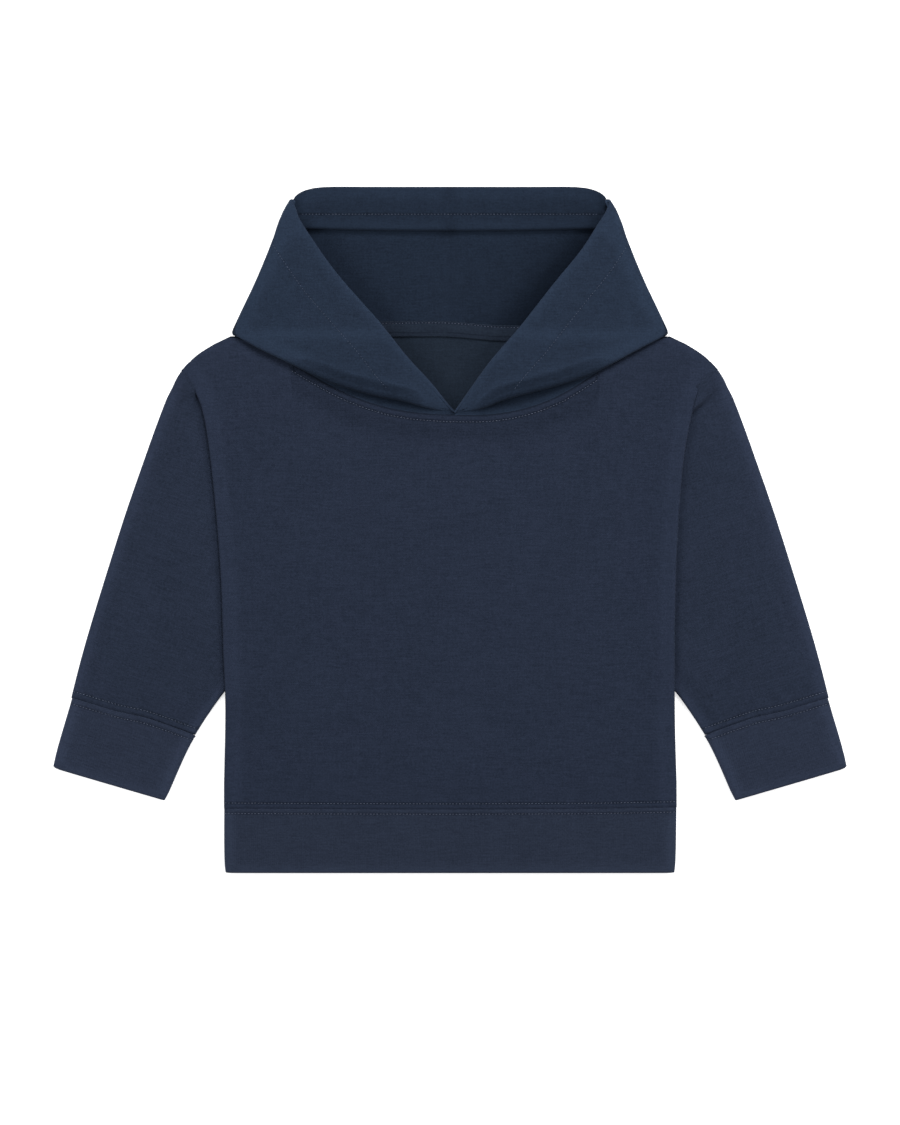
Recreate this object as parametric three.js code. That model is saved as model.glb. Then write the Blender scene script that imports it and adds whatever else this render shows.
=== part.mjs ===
import * as THREE from 'three';

// Toddler pullover hoodie lying flat on its back, with the hood open towards the top.
// Millimetres. X runs across the body, Y from the hem to the hood, Z up from the floor.

// Cloth
const CLOTH = 1.6;
const DOUBLED = 2.8;
const TAPE_CLOTH = 1.0;
const SEAM_GAP = 0.3;
const LAYER_STEP = 2.1;

// Body heights, measured to the middle of the cloth
const FRONT_LEVEL = 6.1;
const FRONT_REACH = 18;
const UNDER_ON_SLEEVE = 5.1;
const UNDER_ON_BACK = 2.8;
const UNDER_DEPTH = 8;
const UNDERARM_Y = -117;
const UNDERARM_RUN = 18;
const BACK_SETBACK = 0.42;
const SIDE_HEIGHT = 314;
const CENTRE_HEIGHT = 281;

// Sleeve, cuff and hem band
const SLEEVE_LEVEL = 5.9;
const SLEEVE_REACH = 17;
const SLEEVE_TUCKED = 2.9;
const SLEEVE_END_LEVEL = 4.6;
const TUCK_WIDTH = 9.5;
const TUCK_RISE = 20;
const SLEEVE_OUTER = 262;
const SLEEVE_INNER = 52;
const BAND_LEVEL = 5.1;
const BAND_EDGE = 4.6;
const BAND_REACH = 12;
const CUFF_GAP = { x: 0.1, y: 0.3 };
const HEM_BOTTOM = -245.3;

// Hood
const FACE_EDGE_Y = 243.4;
const CROWN_SET_BACK = 1.6;
const PLEAT_DEPTH = 30;
const BACK_NECK_Y = 139.5;
const BACK_NECK_HALF = 100;
const BACK_NECK_DROP = 0.8;
const HEM_CLOTH = 2.6;
const HEM_ROWS = 6;
const FIRST_PLEAT_RADIUS = 1.15;
const SECOND_PLEAT_RADIUS = 1.35;
const NECK_FOLD_RADIUS = 1.05;
const ROLL_RADIUS = 2.0;
const CORNER_ROLL_RADIUS = 0.95;
const CORNER_ROLL_REACH = 0.15;
const ROLL_DEPTH = 3.0;
const NECK_GAP = 0.5;
const V_X = 3.0;
const V_GAP = 0.9;
const V_RISE = 2.2;
const SIDE_START = { x: 154.3, y: 139.0 };
const NECK_ROWS = 13;
const NECK_ROWS_REACH = 6;

// Neck tape
const TAPE_HALF_LENGTH = 136;
const TAPE_WIDTH = 10.4;
const TAPE_LAP = 1.1;
const TAPE_CROWN = 0.5;

// Side of the front, from the top of the armhole seam to the hem seam.
// It folds over the sleeve as far as the underarm and is the side seam below it.
const FRONT_SIDE_LEFT = [
  { x: -191.0, y: 113.4 },
  { x: -185.6, y: 106.0 },
  { x: -180.6, y: 97.4 },
  { x: -177.1, y: 90.7 },
  { x: -173.3, y: 73.6 },
  { x: -168.6, y: 35.6 },
  { x: -165.0, y: -2.4 },
  { x: -162.5, y: -40.4 },
  { x: -161.1, y: -97.4 },
  { x: -160.0, y: -114.0 },
  { x: -160.4, y: -155.0 },
  { x: -161.1, y: -180.0 },
  { x: -161.1, y: -198.6 },
];
const FRONT_SIDE_RIGHT = [
  { x: 190.9, y: 114.0 },
  { x: 183.6, y: 108.6 },
  { x: 178.2, y: 103.2 },
  { x: 175.5, y: 97.0 },
  { x: 172.5, y: 84.8 },
  { x: 167.3, y: 60.6 },
  { x: 163.9, y: 27.8 },
  { x: 161.4, y: -12.1 },
  { x: 160.0, y: -59.2 },
  { x: 159.9, y: -112.6 },
  { x: 160.7, y: -155.0 },
  { x: 161.6, y: -180.0 },
  { x: 161.6, y: -197.6 },
];

// Shoulder edges of the front with the height of the cloth on them
const SHOULDER = [
  { x: 188.4, y: 117.9, z: 7.0 },
  { x: 184.6, y: 121.2, z: 6.8 },
  { x: 177.5, y: 126.9, z: 5.6 },
  { x: 168.2, y: 132.6, z: 3.9 },
  { x: 157.0, y: 138.0, z: 2.9 },
];

// Front neck seam
const NECK = [
  { x: -151.4, y: 137.9 },
  { x: -134.7, y: 128.8 },
  { x: -111.2, y: 117.9 },
  { x: -94.1, y: 107.6 },
  { x: -77.0, y: 98.2 },
  { x: -59.9, y: 91.4 },
  { x: -42.8, y: 86.2 },
  { x: -25.7, y: 83.4 },
  { x: -8.6, y: 82.1 },
  { x: 8.6, y: 81.6 },
  { x: 25.7, y: 81.6 },
  { x: 42.8, y: 83.7 },
  { x: 59.9, y: 87.9 },
  { x: 77.0, y: 94.8 },
  { x: 94.1, y: 105.1 },
  { x: 107.8, y: 114.3 },
  { x: 129.0, y: 126.4 },
  { x: 140.4, y: 132.3 },
  { x: 151.4, y: 137.9 },
];
const NECK_LEVEL = [
  { x: 0, z: 5.3 },
  { x: 95, z: 5.2 },
  { x: 125, z: 4.3 },
  { x: 148, z: 2.9 },
  { x: 160, z: 2.9 },
];

// Seam between the body and the hem band
const HEM_SEAM = [
  { x: -100, y: -199.0 },
  { x: 0, y: -199.4 },
  { x: 100, y: -198.9 },
];

// Sleeve outlines. The armhole end is tucked under the front, x is measured outwards.
const ARMHOLE = [
  { x: 184.5, y: 119.8 },
  { x: 177.6, y: 107.0 },
  { x: 172.0, y: 95.5 },
  { x: 168.4, y: 86.0 },
  { x: 164.6, y: 72.0 },
  { x: 160.0, y: 35.6 },
  { x: 156.4, y: -2.4 },
  { x: 154.0, y: -40.4 },
  { x: 152.6, y: -85.0 },
  { x: 152.0, y: -105.0 },
];
const BACK_UNDERARM = [
  { x: 159.8, y: -114.9 },
  { x: 151.1, y: -105.6 },
];
const SLEEVE_OUTER_EDGE = [
  { x: 184.5, y: 119.8 },
  { x: 191.0, y: 114.9 },
  { x: 195.4, y: 109.3 },
  { x: 202.4, y: 92.7 },
  { x: 208.1, y: 78.4 },
  { x: 220.2, y: 44.2 },
  { x: 232.3, y: 10.0 },
  { x: 243.0, y: -24.2 },
  { x: 253.7, y: -58.4 },
  { x: 263.7, y: -92.7 },
  { x: 270.3, y: -119.6 },
];
const SLEEVE_INNER_EDGE = [
  { x: 152.0, y: -105.0 },
  { x: 163.6, y: -118.3 },
  { x: 169.6, y: -126.9 },
  { x: 175.3, y: -135.4 },
  { x: 181.9, y: -146.2 },
];
const CUFF_SEAM = [
  { x: 262.3, y: -121.8 },
  { x: 235.9, y: -129.8 },
  { x: 216.7, y: -133.6 },
  { x: 196.0, y: -141.0 },
];
const CUFF_OUTER_EDGE = [
  { x: 269.8, y: -120.3 },
  { x: 282.9, y: -167.6 },
  { x: 282.4, y: -169.2 },
];
const CUFF_INNER_EDGE = [
  { x: 181.7, y: -147.1 },
  { x: 185.3, y: -152.9 },
  { x: 193.1, y: -169.6 },
  { x: 202.4, y: -190.9 },
  { x: 203.9, y: -192.3 },
];

// Hood outlines, x measured outwards
const HOOD_SIDE = [
  SIDE_START,
  { x: 155.4, y: 140.7 },
  { x: 151.8, y: 149.7 },
  { x: 138.3, y: 178.2 },
  { x: 125.4, y: 209.5 },
  { x: 119.0, y: 226.6 },
  { x: 114.0, y: 235.2 },
];
const HOOD_TOP_CORNER = [
  { x: 60.0, drop: 0 },
  { x: 92.6, drop: 0 },
  { x: 103.0, drop: 1.6 },
];
const FREE_EDGE_LEFT = [
  { x: 110.6, y: 229.5 },
  { x: 108.0, y: 220.9 },
  { x: 101.9, y: 211.0 },
  { x: 92.7, y: 197.4 },
  { x: 82.7, y: 183.2 },
  { x: 67.2, y: 165.4 },
  { x: 45.6, y: 141.1 },
  { x: 32.8, y: 124.0 },
  { x: 13.5, y: 103.6 },
  { x: 4.0, y: 91.5 },
];
const FREE_EDGE_RIGHT = [
  { x: 111.6, y: 225.9 },
  { x: 106.2, y: 217.4 },
  { x: 94.1, y: 198.1 },
  { x: 77.0, y: 177.5 },
  { x: 62.8, y: 159.4 },
  { x: 48.5, y: 141.1 },
  { x: 34.2, y: 125.4 },
  { x: 25.7, y: 114.7 },
  { x: 15.0, y: 99.8 },
  { x: 7.4, y: 89.3 },
];

// Width of neck cloth that shows below the rolled fold of the flap, by distance from the V
const LENS_LEFT = [
  { x: 0, lens: 0.3 },
  { x: 10, lens: 1.2 },
  { x: 22, lens: 4.4 },
  { x: 33, lens: 6.6 },
  { x: 48, lens: 6.2 },
  { x: 66, lens: 5.0 },
  { x: 86, lens: 2.0 },
  { x: 105, lens: -0.2 },
  { x: 125, lens: -0.8 },
  { x: 160, lens: -0.8 },
];
const LENS_RIGHT = [
  { x: 0, lens: 0.3 },
  { x: 12, lens: 2.4 },
  { x: 25, lens: 5.8 },
  { x: 35, lens: 8.6 },
  { x: 48, lens: 9.8 },
  { x: 61, lens: 9.4 },
  { x: 73, lens: 7.4 },
  { x: 87, lens: 3.4 },
  { x: 103, lens: 0.1 },
  { x: 125, lens: -0.8 },
  { x: 160, lens: -0.8 },
];

// How far the neck fold and the crown pleat are formed along each part of the hood
const NECK_FOLD = [
  { u: 0, formed: 0 },
  { u: 0.03, formed: 1 },
  { u: 0.8, formed: 1 },
  { u: 0.95, formed: 0 },
];
const CROWN_PLEAT = [
  { u: 0.86, formed: 1 },
  { u: 0.965, formed: 0 },
];

// Height of the free edge of the flap, from the corner at 0 to the V at 1
const FREE_LEVEL = [
  { u: 0, z: 10.2 },
  { u: 0.15, z: 11.4 },
  { u: 0.45, z: 14.0 },
  { u: 0.7, z: 13.0 },
  { u: 0.86, z: 9.6 },
  { u: 1, z: 6.0 },
];

// Height of the flap beside the side fold and of the cloth under it, from neck to corner
const SIDE_LEVEL = [
  { v: 0, above: 3.4, below: 0.8 },
  { v: 0.03, above: 5.6, below: 0.8 },
  { v: 0.07, above: 7.0, below: 0.8 },
  { v: 0.3, above: 7.9, below: 0.8 },
  { v: 0.6, above: 9.1, below: 0.8 },
  { v: 1, above: 10.2, below: 5.9 },
];

// Soft undulations of the front and sleeves. Width is across the crease, depth may be a ridge.
const FRONT_CREASES = [
  { x: -60, y: 20, angle: 78, length: 150, width: 26, depth: -0.5 },
  { x: 70, y: -30, angle: 96, length: 190, width: 30, depth: -0.45 },
  { x: -120, y: -90, angle: 84, length: 130, width: 22, depth: 0.4 },
  { x: 128, y: 30, angle: 99, length: 120, width: 18, depth: 0.45 },
  { x: 0, y: -140, angle: 4, length: 210, width: 26, depth: -0.35 },
];
const SLEEVE_CREASES = [
  { x: 205, y: 40, angle: 250, length: 110, width: 20, depth: -0.6 },
  { x: 222, y: -40, angle: 256, length: 120, width: 18, depth: 0.5 },
  { x: 205, y: -95, angle: 214, length: 60, width: 16, depth: -0.6 },
];

// Lengths along each piece where a section is taken
const FRONT_ROWS = [0, 0.006, 0.02, 0.045, 0.085, 0.14, 0.21, 0.29, 0.38, 0.47, 0.56,
  0.65, 0.715, 0.755, 0.8, 0.86, 0.92, 0.965, 0.988, 1];
const FRONT_COLUMNS = 25;
const SLEEVE_RINGS = [0, 0.012, 0.035, 0.06, 0.1, 0.16, 0.24, 0.34, 0.46, 0.6, 0.74, 0.86,
  0.95, 1];
const CUFF_RINGS = [0, 0.08, 0.3, 0.6, 0.88, 0.985];
const HEM_RINGS = [0, 0.08, 0.3, 0.6, 0.88, 0.98];
const FOLD_STEPS = 4;
const SIDE_FOLD_STEPS = 6;
const HOOD_BACK_COLUMNS = [0, 0.14, 0.28, 0.42, 0.55, 0.66, 0.75, 0.82, 0.87, 0.91, 0.945];
const HOOD_FLAP_COLUMNS = [0.012, 0.03, 0.055, 0.085, 0.12, 0.155, 0.2, 0.27, 0.35, 0.43,
  0.51, 0.59, 0.67, 0.74, 0.8, 0.86, 0.91, 0.955, 1];
const HOOD_ROWS = 31;

const NAVY_BODY = 0x2b3243;
const NAVY_SLEEVE = 0x2d3445;
const NAVY_HOOD = 0x2e3749;
const NAVY_BAND = 0x2e3547;
const NAVY_INSIDE = 0x2a3341;

const clamp = (t) => Math.min(1, Math.max(0, t));
const smooth = (t) => clamp(t) ** 2 * (3 - 2 * clamp(t));
const mix = (a, b, t) => a + (b - a) * t;

// Value of a column at a place in a table, in straight steps between its rows
function read(table, key, name, at) {
  if (at <= table[0][key]) return table[0][name];
  for (let i = 1; i < table.length; i += 1) {
    if (at <= table[i][key]) {
      const t = (at - table[i - 1][key]) / (table[i][key] - table[i - 1][key]);
      return mix(table[i - 1][name], table[i][name], t);
    }
  }
  return table[table.length - 1][name];
}

// Curve through the rows of an outline table, by its length
function through(rows) {
  const points = rows.map((row) => new THREE.Vector3(row.x, row.y, 0));
  const curve = new THREE.CatmullRomCurve3(points, false, 'centripetal');
  return (t) => curve.getPointAt(clamp(t));
}

// Straight lines through the rows of an outline table, by their length
function straightThrough(rows) {
  const path = new THREE.CurvePath();
  const points = rows.map((row) => new THREE.Vector3(row.x, row.y, 0));
  for (let k = 1; k < points.length; k += 1) path.add(new THREE.LineCurve3(points[k - 1], points[k]));
  return (t) => path.getPointAt(clamp(t));
}

// Flat pattern between four outlines. Left and right run with v, start and end with u.
function pattern(left, right, start, end) {
  return (u, v) => {
    const point = new THREE.Vector3();
    point.addScaledVector(left(v), 1 - u).addScaledVector(right(v), u);
    point.addScaledVector(start(u), 1 - v).addScaledVector(end(u), v);
    point.addScaledVector(left(0), -(1 - u) * (1 - v)).addScaledVector(right(0), -u * (1 - v));
    point.addScaledVector(left(1), -(1 - u) * v).addScaledVector(right(1), -u * v);
    return point;
  };
}

// Height of cloth that rests at its own level in the middle and at another near each side
function loft(level, reach, sides) {
  let strongest = 0;
  let total = 0;
  let sum = 0;
  for (const side of sides) {
    const weight = 1 - smooth(side.distance / (side.reach ?? reach));
    strongest = Math.max(strongest, weight);
    total += weight ** 2;
    sum += weight ** 2 * side.z;
  }
  return total > 0 ? mix(level, sum / total, strongest) : level;
}

// Height that the soft creases add at a point
function creased(table, x, y) {
  let height = 0;
  for (const crease of table) {
    const angle = THREE.MathUtils.degToRad(crease.angle);
    const along = (x - crease.x) * Math.cos(angle) + (y - crease.y) * Math.sin(angle);
    const across = (y - crease.y) * Math.cos(angle) - (x - crease.x) * Math.sin(angle);
    const fade = Math.exp(-((along / (crease.length / 2)) ** 2) * 2);
    height += crease.depth * fade * Math.exp(-((across / (crease.width / 2)) ** 2));
  }
  return height;
}

// Closed solid of cloth about a grid of middle points. A closed grid runs round a tube.
// A rounded end gives the last row a turned edge.
function clothSolid(grid, wallAt, { closed = false, rounded = false } = {}) {
  const rows = grid.length;
  const columns = grid[0].length;
  const positions = [];
  const faces = [];
  const at = (i, j) => grid[i][closed ? (j + columns) % columns : Math.min(columns - 1, Math.max(0, j))];
  const push = (point) => positions.push(point.x, point.y, point.z) / 3 - 1;
  const outer = [];
  const inner = [];
  for (let i = 0; i < rows; i += 1) {
    outer.push([]);
    inner.push([]);
    for (let j = 0; j < columns; j += 1) {
      const across = at(i, j + 1).clone().sub(at(i, j - 1));
      const along = at(Math.min(rows - 1, i + 1), j).clone().sub(at(Math.max(0, i - 1), j));
      const normal = across.cross(along).normalize();
      const half = wallAt(i, j) / 2;
      outer[i].push(push(grid[i][j].clone().addScaledVector(normal, half)));
      inner[i].push(push(grid[i][j].clone().addScaledVector(normal, -half)));
    }
  }
  const quad = (a, b, c, d) => {
    if (distance(a, c) <= distance(b, d)) faces.push(a, b, c, a, c, d);
    else faces.push(a, b, d, b, c, d);
  };
  const distance = (a, b) => Math.hypot(
    positions[3 * a] - positions[3 * b],
    positions[3 * a + 1] - positions[3 * b + 1],
    positions[3 * a + 2] - positions[3 * b + 2],
  );
  const lastColumn = closed ? columns : columns - 1;
  for (let i = 0; i + 1 < rows; i += 1) {
    for (let j = 0; j < lastColumn; j += 1) {
      const k = (j + 1) % columns;
      quad(outer[i][j], outer[i][k], outer[i + 1][k], outer[i + 1][j]);
      quad(inner[i][k], inner[i][j], inner[i + 1][j], inner[i + 1][k]);
    }
    if (!closed) {
      quad(inner[i][0], outer[i][0], outer[i + 1][0], inner[i + 1][0]);
      quad(outer[i][lastColumn], inner[i][lastColumn], inner[i + 1][lastColumn], outer[i + 1][lastColumn]);
    }
  }
  const end = rows - 1;
  const rim = [];
  if (rounded) {
    for (let j = 0; j < columns; j += 1) {
      const outward = grid[end][j].clone().sub(grid[end - 1][j]).normalize();
      rim.push(push(grid[end][j].clone().addScaledVector(outward, wallAt(end, j) * 0.35)));
    }
  }
  for (let j = 0; j < lastColumn; j += 1) {
    const k = (j + 1) % columns;
    quad(outer[0][k], outer[0][j], inner[0][j], inner[0][k]);
    if (rounded) {
      quad(outer[end][j], outer[end][k], rim[k], rim[j]);
      quad(rim[j], rim[k], inner[end][k], inner[end][j]);
    } else {
      quad(outer[end][j], outer[end][k], inner[end][k], inner[end][j]);
    }
  }
  if (rounded && !closed) {
    faces.push(outer[end][0], rim[0], inner[end][0]);
    faces.push(outer[end][lastColumn], inner[end][lastColumn], rim[lastColumn]);
  }
  return solid(positions, faces);
}

// Indexed geometry with its faces turned outwards
function solid(positions, faces) {
  let volume = 0;
  const corner = (index) => new THREE.Vector3().fromArray(positions, 3 * index);
  for (let f = 0; f < faces.length; f += 3) {
    volume += corner(faces[f]).dot(corner(faces[f + 1]).cross(corner(faces[f + 2])));
  }
  if (volume < 0) faces.reverse();
  const geometry = new THREE.BufferGeometry();
  geometry.setAttribute('position', new THREE.Float32BufferAttribute(positions, 3));
  geometry.setIndex(faces);
  geometry.computeVertexNormals();
  return geometry;
}

// Tube of cloth pressed flat: one loop of middle points for each length along it
function flatTube(plan, wall, lengths, level, points = { below: 5, above: 11 }) {
  const under = wall / 2;
  return lengths.map((v) => {
    const width = plan(0, v).distanceTo(plan(1, v));
    const loop = [];
    const radius = [(level(0, v) - under) / 2, (level(1, v) - under) / 2];
    const from = (under + radius[0]) / width;
    const to = 1 - (under + radius[1]) / width;
    const put = (u, z) => loop.push(plan(u, v).setZ(z));
    for (let k = 0; k <= points.below; k += 1) put(mix(from, to, k / points.below), under);
    for (let k = 1; k < FOLD_STEPS; k += 1) {
      const turn = Math.PI * (k / FOLD_STEPS - 0.5);
      const inset = under + radius[1] * (1 - Math.cos(turn));
      put(1 - inset / width, under + radius[1] * (1 + Math.sin(turn)));
    }
    put(to, level(1, v));
    for (let k = 1; k < points.above; k += 1) {
      const even = k / points.above;
      const u = mix(to, from, mix(even, smooth(even), 0.75));
      put(u, level(u, v));
    }
    put(from, level(0, v));
    for (let k = 1; k < FOLD_STEPS; k += 1) {
      const turn = Math.PI * (0.5 - k / FOLD_STEPS);
      const inset = under + radius[0] * (1 - Math.cos(turn));
      put(inset / width, under + radius[0] * (1 + Math.sin(turn)));
    }
    return loop;
  });
}

// Front, with its side edges turned under
function frontGrid() {
  const hemSeam = HEM_SEAM.map((row) => ({ x: row.x, y: row.y + SEAM_GAP / 2 }));
  const top = [
    FRONT_SIDE_LEFT[0],
    ...SHOULDER.map((row) => ({ x: -row.x, y: row.y })),
    ...NECK,
    ...[...SHOULDER].reverse(),
    FRONT_SIDE_RIGHT[0],
  ];
  const bottom = [FRONT_SIDE_LEFT.at(-1), ...hemSeam, FRONT_SIDE_RIGHT.at(-1)];
  const plan = pattern(through(FRONT_SIDE_LEFT), through(FRONT_SIDE_RIGHT), through(top), through(bottom));
  const shoulder = [...SHOULDER].reverse();
  const topLevel = (u) => {
    const x = Math.abs(plan(u, 0).x);
    return x > shoulder[0].x ? read(shoulder, 'x', 'z', x) : read(NECK_LEVEL, 'x', 'z', x);
  };
  return FRONT_ROWS.map((v) => {
    const width = rowLength(plan, v);
    const sideLevel = (y) => mix(UNDER_ON_SLEEVE, UNDER_ON_BACK, smooth((UNDERARM_Y - y) / UNDERARM_RUN));
    const under = [sideLevel(plan(0, v).y), sideLevel(plan(1, v).y)];
    const radius = LAYER_STEP / 2;
    const edge = CLOTH / 2 + radius;
    const level = (u) => {
      const height = mix(CENTRE_HEIGHT, SIDE_HEIGHT, Math.abs(2 * u - 1));
      const point = plan(u, v);
      const sides = [
        { z: under[0] + LAYER_STEP, distance: u * width - edge },
        { z: under[1] + LAYER_STEP, distance: (1 - u) * width - edge },
        { z: topLevel(u), distance: v * height - 1 },
        { z: BAND_LEVEL + 0.2, distance: (1 - v) * height - 1 },
      ];
      return loft(FRONT_LEVEL + creased(FRONT_CREASES, point.x, point.y), FRONT_REACH, sides);
    };
    const row = [];
    for (const inset of [UNDER_DEPTH, UNDER_DEPTH / 2]) {
      row.push(plan(inset / width, v).setZ(under[0]));
    }
    for (let k = 0; k <= FOLD_STEPS; k += 1) {
      const turn = Math.PI * (k / FOLD_STEPS - 0.5);
      const inset = CLOTH / 2 + radius * (1 - Math.cos(turn));
      row.push(plan(inset / width, v).setZ(under[0] + radius * (1 + Math.sin(turn))));
    }
    for (let k = 1; k < FRONT_COLUMNS; k += 1) {
      const even = k / FRONT_COLUMNS;
      const u = mix(edge / width, 1 - edge / width, mix(even, smooth(even), 0.45));
      row.push(plan(u, v).setZ(level(u)));
    }
    for (let k = 0; k <= FOLD_STEPS; k += 1) {
      const turn = Math.PI * (0.5 - k / FOLD_STEPS);
      const inset = CLOTH / 2 + radius * (1 - Math.cos(turn));
      row.push(plan(1 - inset / width, v).setZ(under[1] + radius * (1 + Math.sin(turn))));
    }
    for (const inset of [UNDER_DEPTH / 2, UNDER_DEPTH]) {
      row.push(plan(1 - inset / width, v).setZ(under[1]));
    }
    return row;
  });
}

// Length of a row of a pattern
function rowLength(plan, v, steps = 40) {
  let length = 0;
  for (let k = 0; k < steps; k += 1) length += plan(k / steps, v).distanceTo(plan((k + 1) / steps, v));
  return length;
}

// Back panel, one flat layer on the floor
function backSolid() {
  const half = (sign, side) => [
    ...side.filter((row) => row.y < UNDERARM_Y).reverse(),
    ...BACK_UNDERARM.map((row) => ({ x: sign * row.x, y: row.y })),
    ...[...ARMHOLE].reverse().slice(1).map((row) => ({ x: sign * (row.x - BACK_SETBACK), y: row.y })),
    ...SHOULDER.slice(1).map((row) => ({ x: sign * row.x, y: row.y })),
  ];
  const outline = [
    ...half(-1, FRONT_SIDE_LEFT),
    { x: -BACK_NECK_HALF, y: BACK_NECK_Y - BACK_NECK_DROP },
    { x: 0, y: BACK_NECK_Y },
    { x: BACK_NECK_HALF, y: BACK_NECK_Y - BACK_NECK_DROP },
    ...half(1, FRONT_SIDE_RIGHT).reverse(),
    ...[...HEM_SEAM].reverse().map((row) => ({ x: row.x, y: row.y + SEAM_GAP / 2 })),
  ];
  const shape = new THREE.Shape(outline.map((row) => new THREE.Vector2(row.x, row.y)));
  return new THREE.ExtrudeGeometry(shape, { depth: CLOTH, bevelEnabled: false, curveSegments: 1 });
}

// Sleeve, a tube from the tucked armhole end to the cuff seam
function sleeveGrid(sign) {
  const mirrored = (rows) => rows.map((row) => ({ x: sign * row.x, y: row.y }));
  const seam = [SLEEVE_OUTER_EDGE.at(-1), ...CUFF_SEAM, SLEEVE_INNER_EDGE.at(-1)];
  const plan = pattern(
    through(mirrored(SLEEVE_OUTER_EDGE)),
    through(mirrored(SLEEVE_INNER_EDGE)),
    through(mirrored(ARMHOLE)),
    through(mirrored(seam)),
  );
  const level = (u, v) => {
    const point = plan(u, v);
    const width = plan(0, v).distanceTo(plan(1, v));
    const length = mix(SLEEVE_OUTER, SLEEVE_INNER, u);
    const fromArmhole = v * length - TUCK_WIDTH;
    const edge = mix(SLEEVE_TUCKED, SLEEVE_TUCKED + 0.5, smooth(fromArmhole / TUCK_RISE));
    const sides = [
      { z: edge, distance: Math.min(u, 1 - u) * width - LAYER_STEP },
      { z: SLEEVE_TUCKED, distance: fromArmhole, reach: TUCK_RISE },
      { z: SLEEVE_END_LEVEL, distance: (1 - v) * length },
    ];
    const middle = SLEEVE_LEVEL + creased(SLEEVE_CREASES, Math.abs(point.x), point.y);
    if (fromArmhole <= 0) return SLEEVE_TUCKED;
    return loft(middle, SLEEVE_REACH, sides);
  };
  return flatTube(plan, CLOTH, SLEEVE_RINGS, level);
}

// Cuff, a doubled band round the sleeve end
function cuffGrid(sign) {
  const mirrored = (rows) => rows.map((row) => ({ x: sign * row.x, y: row.y }));
  const seam = CUFF_SEAM.map((row) => ({ x: row.x + CUFF_GAP.x, y: row.y - CUFF_GAP.y - 0.3 }));
  const plan = pattern(
    through(mirrored(CUFF_OUTER_EDGE)),
    through(mirrored(CUFF_INNER_EDGE)),
    through(mirrored([CUFF_OUTER_EDGE[0], ...seam, CUFF_INNER_EDGE[0]])),
    through(mirrored([CUFF_OUTER_EDGE.at(-1), CUFF_INNER_EDGE.at(-1)])),
  );
  return flatTube(plan, DOUBLED, CUFF_RINGS, bandLevel(plan), { below: 3, above: 8 });
}

// Hem band, a doubled band round the bottom of the body
function hemGrid() {
  const left = [
    { x: -161.1, y: FRONT_SIDE_LEFT.at(-1).y - SEAM_GAP },
    { x: -161.2, y: -215 },
    { x: -160.6, y: HEM_BOTTOM + 3 },
    { x: -159.8, y: HEM_BOTTOM + 1 },
  ];
  const right = [
    { x: 161.6, y: FRONT_SIDE_RIGHT.at(-1).y - SEAM_GAP },
    { x: 161.4, y: -215 },
    { x: 160.6, y: HEM_BOTTOM + 3 },
    { x: 159.8, y: HEM_BOTTOM + 1 },
  ];
  const seam = HEM_SEAM.map((row) => ({ x: row.x, y: row.y - SEAM_GAP / 2 }));
  const plan = pattern(
    through(left),
    through(right),
    through([left[0], ...seam, right[0]]),
    through([left.at(-1), { x: 0, y: HEM_BOTTOM + 1 }, right.at(-1)]),
  );
  return flatTube(plan, DOUBLED, HEM_RINGS, bandLevel(plan), { below: 8, above: 20 });
}

// Height of the upper layer of a band
function bandLevel(plan) {
  return (u, v) => {
    const width = plan(0, v).distanceTo(plan(1, v));
    const distance = Math.min(u, 1 - u) * width - LAYER_STEP;
    return loft(BAND_LEVEL, BAND_REACH, [{ z: BAND_EDGE, distance }]);
  };
}

// Half of the hood as one sheet of ribs from the neck seam to the face edge.
// The first ribs lie on the floor from the centre back to the side fold, where the crown is
// pleated, and the rest form the flap that is folded over them, as far as the V.
function hoodGrid(sign, frontNeck, freeEdge, lens) {
  const vEnd = sign * V_X + V_GAP / 2;
  const side = through(HOOD_SIDE);
  const corner = HOOD_SIDE.at(-1);
  const neckFront = frontNeck.map((row) => ({ x: sign * row.x, y: row.y + NECK_GAP }))
    .filter((row) => row.x > vEnd + 1 && row.x < SHOULDER.at(-1).x - 6)
    .sort((a, b) => b.x - a.x);
  const vBase = { x: vEnd, y: neckFront.at(-1).y };
  const vTip = { x: vEnd, y: vBase.y + V_RISE };
  const centre = SEAM_GAP / 2;
  const backNeck = [
    { x: centre, y: BACK_NECK_Y + SEAM_GAP },
    { x: BACK_NECK_HALF, y: BACK_NECK_Y - BACK_NECK_DROP + SEAM_GAP },
    SIDE_START,
  ];
  const topLine = [
    { x: centre, y: FACE_EDGE_Y },
    ...HOOD_TOP_CORNER.map((row) => ({ x: row.x, y: FACE_EDGE_Y - row.drop })),
    corner,
  ];
  const back = pattern(straightThrough([backNeck[0], topLine[0]]), side, through(backNeck), through(topLine));
  const flap = pattern(
    side,
    straightThrough([vBase, vTip]),
    straightThrough([SIDE_START, ...neckFront, vBase]),
    through([corner, ...freeEdge, vTip]),
  );
  const columns = [];
  for (const u of HOOD_BACK_COLUMNS) columns.push(backRib(back, u));
  for (let k = 0; k <= SIDE_FOLD_STEPS; k += 1) {
    columns.push(foldRib(side, Math.PI * (k / SIDE_FOLD_STEPS - 0.5)));
  }
  for (const u of HOOD_FLAP_COLUMNS) columns.push(flapRib(flap, u, vEnd, lens));
  const grid = [];
  for (let i = 0; i <= HOOD_ROWS; i += 1) {
    grid.push(columns.map((rib) => new THREE.Vector3(sign * rib[i].x, rib[i].y, rib[i].z)));
  }
  return grid;
}

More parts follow.
